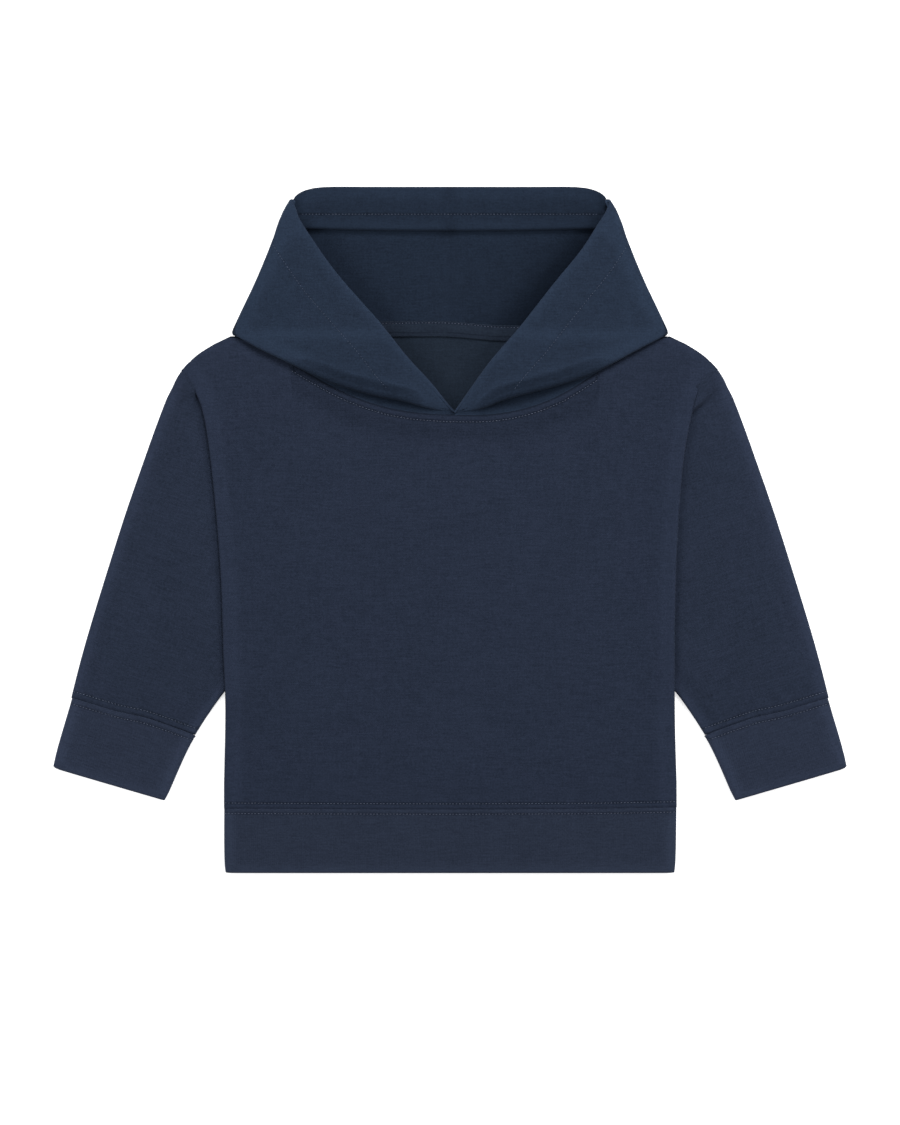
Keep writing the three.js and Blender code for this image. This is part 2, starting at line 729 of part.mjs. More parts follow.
// Share of a plain rib's length at a row. The rows are close together beside the neck seam,
// where the small fold forms, and closer again towards the face edge.
function plainShare(i, length) {
  const reach = Math.min(0.5, NECK_ROWS_REACH / length);
  if (i <= NECK_ROWS) return (reach * i) / NECK_ROWS;
  const left = (HOOD_ROWS - i) / (HOOD_ROWS - NECK_ROWS);
  return mix(reach, 1, 1 - left ** 1.5);
}

// Rib of the hood's back: along the floor, over at the crown, down, and up to the face edge
function backRib(plan, u) {
  const formed = read(CROWN_PLEAT, 'u', 'formed', u);
  const length = plan(u, 0).distanceTo(plan(u, 1));
  const path = pleatPath(length);
  const rib = [];
  for (let i = 0; i <= HOOD_ROWS; i += 1) {
    const v = plainShare(i, length);
    const along = mix(v, path[i].along / length, formed);
    const plain = read(SIDE_LEVEL, 'v', 'below', v);
    rib.push(plan(u, along).setZ(mix(plain, path[i].z, formed)));
  }
  return rib;
}

// Path of the crown pleat, by distance from the neck seam and height
function pleatPath(length) {
  const floor = CLOTH / 2;
  const path = [];
  const crown = length - CROWN_SET_BACK - CLOTH / 2 - FIRST_PLEAT_RADIUS;
  const lower = length - PLEAT_DEPTH + CLOTH / 2 + SECOND_PLEAT_RADIUS;
  for (let i = 0; i <= NECK_ROWS; i += 1) {
    path.push({ along: (NECK_ROWS_REACH * i) / NECK_ROWS, z: floor });
  }
  for (const t of [0.35, 0.75]) path.push({ along: mix(NECK_ROWS_REACH, crown, t), z: floor });
  for (let k = 0; k <= 4; k += 1) {
    const turn = Math.PI * (k / 4 - 0.5);
    path.push({
      along: crown + FIRST_PLEAT_RADIUS * Math.cos(turn),
      z: floor + FIRST_PLEAT_RADIUS * (1 + Math.sin(turn)),
    });
  }
  const second = floor + 2 * FIRST_PLEAT_RADIUS;
  path.push({ along: mix(crown, lower, 0.5), z: second });
  for (let k = 0; k <= 4; k += 1) {
    const turn = Math.PI * (k / 4 - 0.5);
    path.push({
      along: lower - SECOND_PLEAT_RADIUS * Math.cos(turn),
      z: second + SECOND_PLEAT_RADIUS * (1 + Math.sin(turn)),
    });
  }
  const third = second + 2 * SECOND_PLEAT_RADIUS + 0.3;
  for (const t of [0.22, 0.45, 0.75, 0.96, 1]) path.push({ along: mix(lower, length, t), z: third });
  return path;
}

// Rib that runs along the side fold, turned about it
function foldRib(side, turn) {
  const length = side(0).distanceTo(side(1));
  const rib = [];
  for (let i = 0; i <= HOOD_ROWS; i += 1) {
    const v = plainShare(i, length);
    const above = read(SIDE_LEVEL, 'v', 'above', v);
    const below = read(SIDE_LEVEL, 'v', 'below', v);
    const radius = (above - below) / 2;
    const along = side(v + 0.02).sub(side(v - 0.02)).normalize();
    const inward = new THREE.Vector3(-along.y, along.x, 0);
    const half = wallOfHood(i) / 2;
    const point = side(v).addScaledVector(inward, half + radius * (1 - Math.cos(turn)));
    rib.push(point.setZ(below + radius * (1 + Math.sin(turn))));
  }
  return rib;
}

// Rib of the flap: a small fold at the neck seam, the flap, and its free edge
function flapRib(plan, u, vEnd, lens) {
  const formed = read(NECK_FOLD, 'u', 'formed', u);
  const start = plan(u, 0);
  const end = plan(u, 1);
  const length = start.distanceTo(end);
  const neck = read(NECK_LEVEL, 'x', 'z', Math.abs(start.x));
  const free = read(FREE_LEVEL, 'u', 'z', u);
  const shown = read(lens, 'x', 'lens', start.x - vEnd);
  const rollRadius = mix(CORNER_ROLL_RADIUS, ROLL_RADIUS, smooth(u / CORNER_ROLL_REACH));
  const path = neckFoldPath(length, shown, neck, free, rollRadius);
  const rib = [];
  for (let i = 0; i <= HOOD_ROWS; i += 1) {
    const v = plainShare(i, length);
    const beside = mix(read(SIDE_LEVEL, 'v', 'above', v), free, smooth(u * 4));
    const risen = mix(neck, beside, smooth((v * length) / 9 - 0.15));
    const plain = mix(risen, free, smooth((v - 0.5) * 2));
    const along = mix(v, path[i].along / length, formed);
    rib.push(plan(u, along).setZ(mix(plain, path[i].z, formed)));
  }
  return rib;
}

// Path of the fold at the neck seam and of the flap above it
function neckFoldPath(length, shown, neck, free, rollRadius) {
  const path = [];
  const roll = shown + CLOTH / 2 + rollRadius;
  const inner = roll + ROLL_DEPTH;
  path.push({ along: 0, z: neck }, { along: 1.6, z: neck }, { along: mix(1.6, inner, 0.55), z: neck + 0.05 });
  for (let k = 0; k <= 4; k += 1) {
    const turn = Math.PI * (k / 4 - 0.5);
    path.push({
      along: inner + NECK_FOLD_RADIUS * Math.cos(turn),
      z: neck + NECK_FOLD_RADIUS * (1 + Math.sin(turn)),
    });
  }
  const bottom = neck + 2 * NECK_FOLD_RADIUS;
  for (let k = 0; k <= 5; k += 1) {
    const turn = Math.PI * (k / 5 - 0.5);
    path.push({
      along: roll - rollRadius * Math.cos(turn),
      z: bottom + rollRadius * (1 + Math.sin(turn)),
    });
  }
  const top = bottom + 2 * rollRadius;
  const steps = HOOD_ROWS + 1 - path.length;
  for (let k = 1; k <= steps; k += 1) {
    const t = 1 - (1 - k / steps) ** 1.5;
    path.push({ along: mix(roll, length, t), z: mix(top, free, smooth(t)) + Math.sin(Math.PI * t) * 0.6 });
  }
  return path;
}

// Wall of the hood, doubled along its face hem
function wallOfHood(i) {
  return mix(CLOTH, HEM_CLOTH, smooth((i - HOOD_ROWS + HEM_ROWS) / 2));
}

// Tape over the back neck seam, made from the seam and moved up
function tapeGrid() {
  const grid = [];
  for (const t of [0, 0.33, 0.67, 1]) {
    const row = [];
    for (let k = 0; k <= 16; k += 1) {
      const x = mix(-TAPE_HALF_LENGTH, TAPE_HALF_LENGTH, k / 16);
      const seam = BACK_NECK_Y - BACK_NECK_DROP * Math.min(1, (x / BACK_NECK_HALF) ** 2);
      const z = CLOTH + SEAM_GAP + TAPE_CLOTH / 2 + TAPE_CROWN * Math.sin(Math.PI * t);
      row.push(new THREE.Vector3(x, seam - TAPE_LAP + TAPE_WIDTH * t, z));
    }
    grid.push(row);
  }
  return grid;
}

function cloth(name, geometry, color) {
  const material = new THREE.MeshStandardMaterial({ color, roughness: 0.94, metalness: 0 });
  const mesh = new THREE.Mesh(geometry, material);
  mesh.name = name;
  return mesh;
}

function hoodie() {
  const group = new THREE.Group();
  group.name = 'toddler_hoodie';
  const single = () => CLOTH;
  const doubled = () => DOUBLED;
  const tube = { closed: true };
  const band = { closed: true, rounded: true };
  group.add(cloth('back', backSolid(), NAVY_INSIDE));
  const front = frontGrid();
  group.add(cloth('front', clothSolid(front, single), NAVY_BODY));
  group.add(cloth('sleeve_left', clothSolid(sleeveGrid(-1), single, tube), NAVY_SLEEVE));
  group.add(cloth('sleeve_right', clothSolid(sleeveGrid(1), single, tube), NAVY_SLEEVE));
  group.add(cloth('cuff_left', clothSolid(cuffGrid(-1), doubled, band), NAVY_BAND));
  group.add(cloth('cuff_right', clothSolid(cuffGrid(1), doubled, band), NAVY_BAND));
  group.add(cloth('hem_band', clothSolid(hemGrid(), doubled, band), NAVY_BAND));
  const hoodEdge = { rounded: true };
  const leftHood = hoodGrid(-1, front[0], FREE_EDGE_LEFT, LENS_LEFT);
  const rightHood = hoodGrid(1, front[0], FREE_EDGE_RIGHT, LENS_RIGHT);
  group.add(cloth('hood_left', clothSolid(leftHood, wallOfHood, hoodEdge), NAVY_HOOD));
  group.add(cloth('hood_right', clothSolid(rightHood, wallOfHood, hoodEdge), NAVY_HOOD));
  group.add(cloth('neck_tape', clothSolid(tapeGrid(), () => TAPE_CLOTH), NAVY_INSIDE));
  return group;
}

export default hoodie();
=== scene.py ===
import math

import bmesh
import bpy
import numpy as np
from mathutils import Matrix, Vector
from mathutils.bvhtree import BVHTree
from mathutils.kdtree import KDTree


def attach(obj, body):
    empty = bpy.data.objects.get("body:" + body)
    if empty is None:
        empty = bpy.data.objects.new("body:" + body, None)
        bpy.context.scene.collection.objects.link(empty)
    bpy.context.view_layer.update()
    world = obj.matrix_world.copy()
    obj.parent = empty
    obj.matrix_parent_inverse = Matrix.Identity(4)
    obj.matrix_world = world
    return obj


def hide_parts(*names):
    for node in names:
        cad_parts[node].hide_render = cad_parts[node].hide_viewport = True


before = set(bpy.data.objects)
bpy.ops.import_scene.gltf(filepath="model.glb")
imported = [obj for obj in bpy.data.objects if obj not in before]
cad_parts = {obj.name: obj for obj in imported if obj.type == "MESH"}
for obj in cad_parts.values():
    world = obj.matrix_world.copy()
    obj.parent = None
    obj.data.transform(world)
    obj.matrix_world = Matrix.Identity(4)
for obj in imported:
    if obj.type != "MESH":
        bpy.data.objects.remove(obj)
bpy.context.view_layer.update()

# Toddler pullover hoodie laid flat. Tables are in millimetres, the scene in metres.
MM = 0.001

# Each side of the garment, with its sign along X
SIDES = {"left": -1, "right": 1}

# Seam between the front and the hood, left to right
NECK_SEAM = [
    (-151.4, 137.9), (-134.7, 128.8), (-111.2, 117.9), (-94.1, 107.6), (-77.0, 98.2),
    (-59.9, 91.4), (-42.8, 86.2), (-25.7, 83.4), (-8.6, 82.1), (8.6, 81.6), (25.7, 81.6),
    (42.8, 83.7), (59.9, 87.9), (77.0, 94.8), (94.1, 105.1), (107.8, 114.3), (129.0, 126.4),
    (140.4, 132.3), (151.4, 137.9),
]
HEM_SEAM = [(-161.1, -198.8), (-100, -199.1), (0, -199.4), (100, -199.0), (161.6, -197.8)]
BACK_NECK_SEAM = [(-136, 138.7), (-100, 138.7), (0, 139.5), (100, 138.7), (136, 138.7)]

# Seam of the right cuff, from the outer side to the inner one, which the left one mirrors
CUFF_SEAM = [
    (270.3, -119.6), (262.3, -121.8), (235.9, -129.8), (216.7, -133.6), (196.0, -141.0),
    (181.9, -146.2),
]

# Free edge of each rolled hood flap, from the crown down to the V
FREE_EDGE = {
    "left": [
        (-114.0, 235.2), (-110.6, 229.5), (-108.0, 220.9), (-101.9, 211.0), (-92.7, 197.4),
        (-82.7, 183.2), (-67.2, 165.4), (-45.6, 141.1), (-32.8, 124.0), (-13.5, 103.6),
        (-4.0, 91.5), (2.5, 84.0),
    ],
    "right": [
        (114.0, 235.2), (111.6, 225.9), (106.2, 217.4), (94.1, 198.1), (77.0, 177.5),
        (62.8, 159.4), (48.5, 141.1), (34.2, 125.4), (25.7, 114.7), (15.0, 99.8), (7.4, 89.3),
        (3.5, 84.0),
    ],
}

# Fold of the front over each sleeve, from the shoulder down
ARMHOLE_FOLD = {
    "left": [
        (-191.1, 112.7), (-187.4, 105.3), (-183.6, 100.4), (-179.8, 97.2), (-176.8, 89.0),
        (-173.5, 75.0), (-171.4, 60.0), (-168.6, 35.6),
    ],
    "right": [
        (190.9, 114.0), (183.6, 108.6), (178.2, 103.2), (175.5, 97.0), (172.5, 84.8),
        (167.3, 60.6), (163.9, 27.8),
    ],
}

# Outer edges and corners on the right, which the left ones mirror
SHOULDER_EDGE = [
    (150.0, 141.5), (156.8, 138.3), (168.2, 132.6), (177.5, 126.9), (184.6, 121.2),
    (190.3, 115.5), (191.6, 113.9),
]
SLEEVE_EDGE = [(190.0, 115.8), (194.6, 109.8), (199.6, 98.4), (202.4, 92.7)]
HOOD_CORNER = [
    (127.0, 208.5), (124.8, 213.7), (120.0, 225.2), (115.7, 233.8), (112.3, 237.7),
    (107.5, 240.8), (102.7, 242.7), (96.0, 244.1), (90.3, 244.6), (78.0, 244.6),
]
HEM_CORNER = (160.2, -244.2)
CUFF_CORNERS = [(203.6, -193.0), (283.2, -168.4)]

# Stitch rows: how far each lies from its seam or edge
NECK_ROW = 4.6
NECK_ROW_ENDS = (-114, 107)
HEM_ROW_ABOVE = 4.2
HEM_ROW_BELOW = 3.2
SLEEVE_ROW = 4.7
CUFF_ROW = 4.1
HOOD_HEM_ROW = 24.8
HOOD_HEM_ROW_END = 99
CROWN_Y = 244.5
CROWN_ROW = 19.6
CROWN_ROW_REACH = 106
TAPE_SEAM_ROW = 1.5
TAPE_ROW = 8.4

# Heights above the floor
BODY_TOP = 8.05
LEAST_SLEEVE_TOP = 3.7
HOOD_REAR_TOP = 8.0
FLAP_BOTTOM = 6.7

# Distances that no sewn line and no painted rim highlight reach
FAR = 90
COVERED = 40
NO_RIM_HIGHLIGHT = 20

TAPE_SAG = 3.0


# Lines seen from above

PATH_STEP = 1.0
PATH_SMOOTHING = 6


def lengths_along(line):
    return np.r_[0, np.cumsum(np.hypot(*np.diff(line, axis=0).T))]


def directions(line):
    along = np.gradient(line, axis=0)
    return along / np.linalg.norm(along, axis=1)[:, None]


def path(table):
    """Points a step apart along a smooth line through a table's rows."""
    rows = np.array(table, float)
    lengths = lengths_along(rows)
    count = max(2, int(lengths[-1] / PATH_STEP) + 1)
    at = np.linspace(0, lengths[-1], count)
    spaced = np.column_stack([np.interp(at, lengths, rows[:, k]) for k in (0, 1)])
    kernel = np.ones(2 * PATH_SMOOTHING + 1) / (2 * PATH_SMOOTHING + 1)
    padded = np.vstack([
        spaced[:1] + (spaced[:1] - spaced[1:2]) * np.arange(PATH_SMOOTHING, 0, -1)[:, None],
        spaced,
        spaced[-1:] + (spaced[-1:] - spaced[-2:-1]) * np.arange(1, PATH_SMOOTHING + 1)[:, None],
    ])
    return np.column_stack([np.convolve(padded[:, k], kernel, "valid") for k in (0, 1)])


def path_on_side(table, sign):
    """The path of a right-hand table, mirrored where the sign asks for it."""
    return path([(sign * x, y) for x, y in table])


def beside(line, distance):
    """The line moved to its left by a distance."""
    along = directions(line)
    return line + distance * np.column_stack([-along[:, 1], along[:, 0]])


def from_line(points, line):
    """Distance of each point from a line, positive on its left."""
    result = np.full(len(points), 1e9)
    starts, strides = line[:-1], np.diff(line, axis=0)
    for start, stride in zip(starts[::2], strides[::2] * 2):
        t = np.clip(((points - start) @ stride) / (stride @ stride), 0, 1)
        offset = points - start - t[:, None] * stride
        side = np.sign(stride[0] * offset[:, 1] - stride[1] * offset[:, 0])
        length = np.hypot(*offset.T)
        closer = length < np.abs(result)
        result[closer] = (length * side)[closer]
    return result


def place_along(points, line):
    """Length along a line at the place nearest to each point."""
    best = np.full(len(points), 1e9)
    result = np.zeros(len(points))
    for start, at in zip(line, lengths_along(line)):
        gap = np.hypot(points[:, 0] - start[0], points[:, 1] - start[1])
        closer = gap < best
        best[closer] = gap[closer]
        result[closer] = at
    return result


def step(value, start, end):
    """Soft step from 0 where the value is at its start to 1 where it is at its end."""
    t = np.clip((value - start) / (end - start), 0, 1)
    return t * t * (3 - 2 * t)


# Shells of cloth on the forms of the solids

SAME_POINT = 2e-6
SQUARE = 6.0
SQUARES_EACH_WAY = 33
SHARP_FOLD = math.radians(58)
TURNED_EDGE = math.radians(50)
CLOTH_SPREAD = 0.3
LAYER_FADE = 1.5
CREASE_SWAY = 0.06
CREASE_TURNS = 2.2
CREASE_FADE = 2.2
SEAM_WINDOW = 5
LEAST_SHARE = 0.002
LOOK_FROM = 0.1


def shell(name, node, levels=2, edge=0.45):
    """Finer cloth on a solid's form: its square mesh, rounded, with turned edges."""
    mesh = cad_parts[node].data.copy()
    work = bmesh.new()
    work.from_mesh(mesh)
    bmesh.ops.remove_doubles(work, verts=work.verts, dist=SAME_POINT)
    if levels:
        bmesh.ops.join_triangles(
            work, faces=work.faces, angle_face_threshold=math.radians(50),
            angle_shape_threshold=math.radians(170), cmp_seam=False, cmp_sharp=False,
            cmp_uvs=False, cmp_vcols=False, cmp_materials=False)
    else:
        cut_into_squares(work)
    kept_sharp = work.edges.layers.float.new("crease_edge")
    for line in work.edges:
        if len(line.link_faces) == 2 and line.calc_face_angle(0) > SHARP_FOLD:
            line[kept_sharp] = 1.0
    work.to_mesh(mesh)
    work.free()
    mesh.materials.clear()
    piece = placed(name, mesh)
    if levels:
        rounding = piece.modifiers.new("rounding", "SUBSURF")
        rounding.levels = rounding.render_levels = levels
    turned = piece.modifiers.new("turned_edge", "BEVEL")
    turned.width = edge * MM
    turned.segments = 2
    turned.limit_method = "ANGLE"
    turned.angle_limit = TURNED_EDGE
    apply_modifiers(piece)
    outward = normals_of(piece) * CLOTH_SPREAD
    outward[:, 2] = 0
    set_points(piece, points_of(piece) + outward)
    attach(piece, "root")
    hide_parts(node)
    return piece


def placed(name, data):
    """A new object in the scene."""
    made = bpy.data.objects.new(name, data)
    bpy.context.scene.collection.objects.link(made)
    return made


def cut_into_squares(work):
    """Cuts a flat plate into squares, so that it can carry creases."""
    for axis in (Vector((1, 0, 0)), Vector((0, 1, 0))):
        for k in range(-SQUARES_EACH_WAY, SQUARES_EACH_WAY + 1):
            everything = [*work.verts, *work.edges, *work.faces]
            bmesh.ops.bisect_plane(
                work, geom=everything, plane_co=axis * (k * SQUARE * MM), plane_no=axis)


def apply_modifiers(piece):
    """Makes the piece's modifiers part of its mesh."""
    graph = bpy.context.evaluated_depsgraph_get()
    made = bpy.data.meshes.new_from_object(piece.evaluated_get(graph))
    old = piece.data
    piece.modifiers.clear()
    piece.data = made
    bpy.data.meshes.remove(old)
    made.name = piece.name
    round_shading(made)


def round_shading(mesh):
    for face in mesh.polygons:
        face.use_smooth = True


def points_of(piece):
    """The piece's points in millimetres."""
    flat = np.empty(len(piece.data.vertices) * 3)
    piece.data.vertices.foreach_get("co", flat)
    return flat.reshape(-1, 3) / MM


def normals_of(piece):
    flat = np.empty(len(piece.data.vertices) * 3)
    piece.data.vertices.foreach_get("normal", flat)
    return flat.reshape(-1, 3)


def set_points(piece, points):
    piece.data.vertices.foreach_set("co", (points * MM).ravel())
    piece.data.update()


def away_from(piece, line):
    return from_line(points_of(piece)[:, :2], line)


def layer_above(points, lowest):
    """Share of each point that belongs to the cloth above a height."""
    return np.clip((points[:, 2] - lowest) / LAYER_FADE, 0, 1)


def crease(piece, table, lowest):
    """Soft troughs and ridges, at listed places, in the cloth that lies above a height."""
    points = points_of(piece)
    lift = np.zeros(len(points))
    for x, y, angle, length, width, depth in table:
        turn = math.radians(angle)
        along = (points[:, 0] - x) * math.cos(turn) + (points[:, 1] - y) * math.sin(turn)
        across = (points[:, 1] - y) * math.cos(turn) - (points[:, 0] - x) * math.sin(turn)
        bend = across - CREASE_SWAY * along * np.sin(along / length * CREASE_TURNS)
        fade = np.exp(-CREASE_FADE * (along / (length / 2)) ** 2)
        lift += depth * fade * np.exp(-((bend / (width / 2)) ** 2))
    points[:, 2] += lift * layer_above(points, lowest)
    set_points(piece, points)


def creases_on_side(table, sign):
    """A right-hand table of creases, mirrored where the sign asks for it."""
    return [(sign * x, y, angle if sign > 0 else 180 - angle, *rest) for x, y, angle, *rest in table]


def ridge(piece, away, centre, width, height, lowest):
    """Raises or sinks the upper layer at a distance from a line."""
    points = points_of(piece)
    shape = np.exp(-(((away - centre) / (width / 2)) ** 2))
    points[:, 2] += height * shape * layer_above(points, lowest)
    set_points(piece, points)


def meet(piece, line, side, reach=6.0, overlap=0.1, most=1.5, run_out=None, below=99.0):
    """Brings a cloth's end onto the line of its seam. The cloth lies on one side of it."""
    points = points_of(piece)
    away = from_line(points[:, :2], line) * side
    place = place_along(points[:, :2], line)
    near = (away < reach) & (points[:, 2] < below)
    if run_out:
        near &= (place > 0.5) & (place < place.max() - 0.5)
    bins = np.clip(place.astype(int), 0, int(place.max()))
    ends = np.full(bins.max() + 1, np.inf)
    np.minimum.at(ends, bins[near], away[near])
    known = np.isfinite(ends)
    ends = np.interp(np.arange(len(ends)), np.flatnonzero(known), ends[known])
    padded = np.pad(ends, SEAM_WINDOW // 2, mode="edge")
    ends = np.min([padded[k:k + len(ends)] for k in range(SEAM_WINDOW)], axis=0)
    padded = np.pad(ends, SEAM_WINDOW // 2, mode="edge")
    ends = np.convolve(padded, np.ones(SEAM_WINDOW) / SEAM_WINDOW, "valid")
    shift = np.clip(np.interp(place, np.arange(len(ends)), ends) + overlap, -most, most)
    shift *= step(away, reach, 0)
    if run_out:
        end = place.max()
        shift *= step(place, 0, run_out[0]) * step(place, end, end - run_out[1])
    along = directions(line)
    lengths = lengths_along(line)
    normal = np.column_stack([-np.interp(place, lengths, along[:, 1]),
                              np.interp(place, lengths, along[:, 0])]) * side
    points[:, :2] -= normal * np.where(near, shift, 0)[:, None]
    set_points(piece, points)


def square_up(piece, corner, reach=6.0, share=0.85):
    """Draws a rounded corner out towards its point."""
    points = points_of(piece)
    offset = np.array(corner) - points[:, :2]
    points[:, :2] += offset * (share * step(np.hypot(*offset.T), reach, 0))[:, None]
    set_points(piece, points)


def tape_sag(x):
    """How far the neck tape hangs below its straight line."""
    return -TAPE_SAG * step(x, -8, 40)


def rise_at_armhole(sleeve, fold, sign, lower, fade):
    """Brings the sleeve level with the body at the top of the armhole, where it isn't tucked."""
    points = points_of(sleeve)
    away = from_line(points[:, :2], fold) * sign
    x, y = np.abs(points[:, 0]), points[:, 1]
    out = np.maximum(away, 0)
    foot = lower(x, out)
    inner = -1.2 - 3.3 * step(y, 97, 103)
    share = step(y, foot, foot + fade(x, out)) * step(out, 18, 0) * step(away, inner, inner + 2)
    look = surface_above([sleeve])
    for k in np.flatnonzero(share > LEAST_SHARE):
        found = look(points[k, 0], points[k, 1])
        height = max(found[0].z / MM if found else LEAST_SLEEVE_TOP, LEAST_SLEEVE_TOP)
        points[k, 2] *= 1 + (BODY_TOP / height - 1) * share[k]
    set_points(sleeve, points)


def surface_above(pieces):
    """A look-up of the cloth's height and slope under a point seen from above."""
    trees = []
    for piece in pieces:
        work = bmesh.new()
        work.from_mesh(piece.data)
        trees.append(BVHTree.FromBMesh(work))
        work.free()

    def look(x, y):
        best = None
        for tree in trees:
            start = Vector((x * MM, y * MM, LOOK_FROM))
            place, normal, _, _ = tree.ray_cast(start, Vector((0, 0, -1)))
            if place and (best is None or place.z > best[0].z):
                best = (place, normal)
        return best

    return look


# Values kept on each piece for its material

# A side of a fold is where the cloth's normal rises less than this
FOLD_SIDE = 0.3
# How far the turned-up edge at a seam hides its own fold
SEAM_CLEAR = 5
TUCK_CLEAR = 6


def mark(piece, name, values):
    """Keeps a value for each point of the piece, for its material."""
    layer = piece.data.attributes.new(name, "FLOAT", "POINT")
    layer.data.foreach_set("value", np.asarray(values, np.float32))


def rim_distance(piece, skip=()):
    """Distance of each point, seen from above, from the piece's folded sides. Folds that lie
    nearer to a seam than its own least distance don't count."""
    points = points_of(piece)
    turned = np.abs(normals_of(piece)[:, 2]) < FOLD_SIDE
    for away, least in skip:
        turned &= away > least
    edge = KDTree(int(turned.sum()))
    for k, index in enumerate(np.flatnonzero(turned)):
        edge.insert((points[index, 0], points[index, 1], 0), k)
    edge.balance()
    return np.array([edge.find((x, y, 0))[2] for x, y, _ in points])


def mark_front(front):
    """The neck seam, whose mark runs out where the hood covers it, the hem and the sides."""
    x = points_of(front)[:, 0]
    covered = COVERED * (1 - step(x, -118, -112) * step(x, 111, 105))
    from_neck = np.abs(away_from(front, neck))
    from_hem = np.abs(away_from(front, hem))
    mark(front, "from_neck", from_neck + covered)
    mark(front, "from_hem", from_hem)
    mark(front, "from_rim", rim_distance(front, [(from_neck, SEAM_CLEAR), (from_hem, SEAM_CLEAR)]))


def mark_hem_band(hem_band):
    from_hem = np.abs(away_from(hem_band, hem))
    mark(hem_band, "from_hem", from_hem)
    mark(hem_band, "from_rim", rim_distance(hem_band, [(from_hem, SEAM_CLEAR)]))


def mark_arm(side, sign):
    """The cuff seam on both its pieces, and the folded sides without the tucked one."""
    for piece in (sleeves[side], cuff_bands[side]):
        from_cuff = np.abs(away_from(piece, cuffs[side]))
        mark(piece, "from_cuff", from_cuff)
        skip = [(from_cuff, SEAM_CLEAR)]
        if piece is sleeves[side]:
            from_tuck = away_from(piece, path(ARMHOLE_FOLD[side])) * sign
            skip.append((from_tuck, TUCK_CLEAR))
        mark(piece, "from_rim", rim_distance(piece, skip))


# Depth of the painted shade beside each free edge inside the hood, and how far it reaches
EDGE_SHADE = {"left": (0.7, 10), "right": (1.7, 18)}


def mark_hood(side, sign):
    """The hood's hems and folds, and a painted shade of up to 2.5 for places that lie deep between
    its folds: the rear inside the mouth, the wedge under each flap, and the roll of the flap."""
    hood = hoods[side]
    points = points_of(hood)
    x, y, z = np.abs(points[:, 0]), points[:, 1], points[:, 2]
    into_mouth = away_from(hood, free_edges[side]) * -sign
    above_neck = away_from(hood, neck)
    rim = rim_distance(hood, [(x, SEAM_CLEAR)])

    depth, reach = EDGE_SHADE[side]
    crown_strip = step(y, 213, 215)
    beside_edge = depth * np.exp(-np.maximum(into_mouth, 0) / reach)
    rear = step(z, 8.4, 7.9) * step(into_mouth, -8, -4) * step(y, 100, 120)
    rear *= 0.8 - 0.05 * crown_strip + (1 - 0.5 * crown_strip) * beside_edge

    wedge = step(z, 6.8, 6.4) * step(above_neck, 12, 9)
    wedge *= step(above_neck, 0.3, 1.1) * (0.6 + 0.4 * step(above_neck, 2.5, 6))

    roll = step(rim, 3.8, 0) * step(z, 7, 7.5) * step(into_mouth, -6, -10)
    roll *= step(x, 125, 100) * step(y, 125, 110) * step(x, 14, 40)

    on_flap = (z > FLAP_BOTTOM) & (into_mouth < 0)
    mark(hood, "from_free_edge", np.where(on_flap, -into_mouth, FAR))
    mark(hood, "from_crown", np.where((z > 4) & (z < HOOD_REAR_TOP), CROWN_Y - y, FAR))
    # Painted shade of the hood deep between its folds, which its material darkens
    mark(hood, "inside", np.maximum(np.maximum(rear, 1.6 * wedge), 1.1 * roll))
    # No painted rim highlight on the roll of the flap, which lies in painted shade
    mark(hood, "from_rim", rim + NO_RIM_HIGHLIGHT * step(roll, 0, 0.5))


# Sewing

STITCH_LENGTH = 1.45
STITCH_GAP = 0.9
STITCH_AROUND = 6
STITCH_RINGS = 5
STITCH_DIP = 0.16
STITCH_UNEVEN = 0.12
GREATEST_STEP = 1.2


def stitches(name, rows, pieces, thread=0.42, sunk=0.12):
    """Rows of single stitches lying on the cloth, in one joined mesh."""
    look = surface_above(pieces)
    verts, faces = [], []
    pitch = STITCH_LENGTH + STITCH_GAP
    for row in rows:
        lengths = lengths_along(row)
        for k in range(int(lengths[-1] / pitch)):
            uneven = STITCH_UNEVEN * math.sin(k * 2.39 + len(row))
            centre = (k + 0.5) * pitch + uneven
            ends = [centre - STITCH_LENGTH / 2, centre + STITCH_LENGTH / 2]
            found = [look(*[np.interp(s, lengths, row[:, c]) for c in (0, 1)]) for s in ends]
            if None in found:
                continue
            first, last = (place / MM for place, _ in found)
            if abs(first.z - last.z) < GREATEST_STEP:
                up = (found[0][1] + found[1][1]).normalized()
                add_stitch(verts, faces, first, last, up, thread, sunk)
    mesh = bpy.data.meshes.new(name)
    mesh.from_pydata(verts, [], faces)
    round_shading(mesh)
    piece = placed(name, mesh)
    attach(piece, "root")
    return piece


def add_stitch(verts, faces, first, last, up, thread, sunk):
    """One stitch: a short round thread whose ends dip into the cloth."""
    along = (last - first).normalized()
    side = along.cross(up).normalized()
    middle = (first + last) / 2 + up * (thread * 0.5 - sunk)
    half = (last - first).length / 2
    base = len(verts)
    for ring in range(STITCH_RINGS):
        t = -1 + 2 * ring / (STITCH_RINGS - 1)
        body = thread / 2 * math.sqrt(max(0.06, 1 - t ** 4))
        for k in range(STITCH_AROUND):
            turn = 2 * math.pi * k / STITCH_AROUND
            spot = (middle + along * (half * t)
                    + up * (body * math.sin(turn) - STITCH_DIP * t * t)
                    + side * (body * math.cos(turn)))
            verts.append(spot * MM)
    for ring in range(STITCH_RINGS - 1):
        lower = base + ring * STITCH_AROUND
        upper = lower + STITCH_AROUND
        for k in range(STITCH_AROUND):
            after = (k + 1) % STITCH_AROUND
            faces.append((lower + k, lower + after, upper + after, upper + k))
    top = base + (STITCH_RINGS - 1) * STITCH_AROUND
    faces.append([base + k for k in reversed(range(STITCH_AROUND))])
    faces.append([top + k for k in range(STITCH_AROUND)])


# Materials

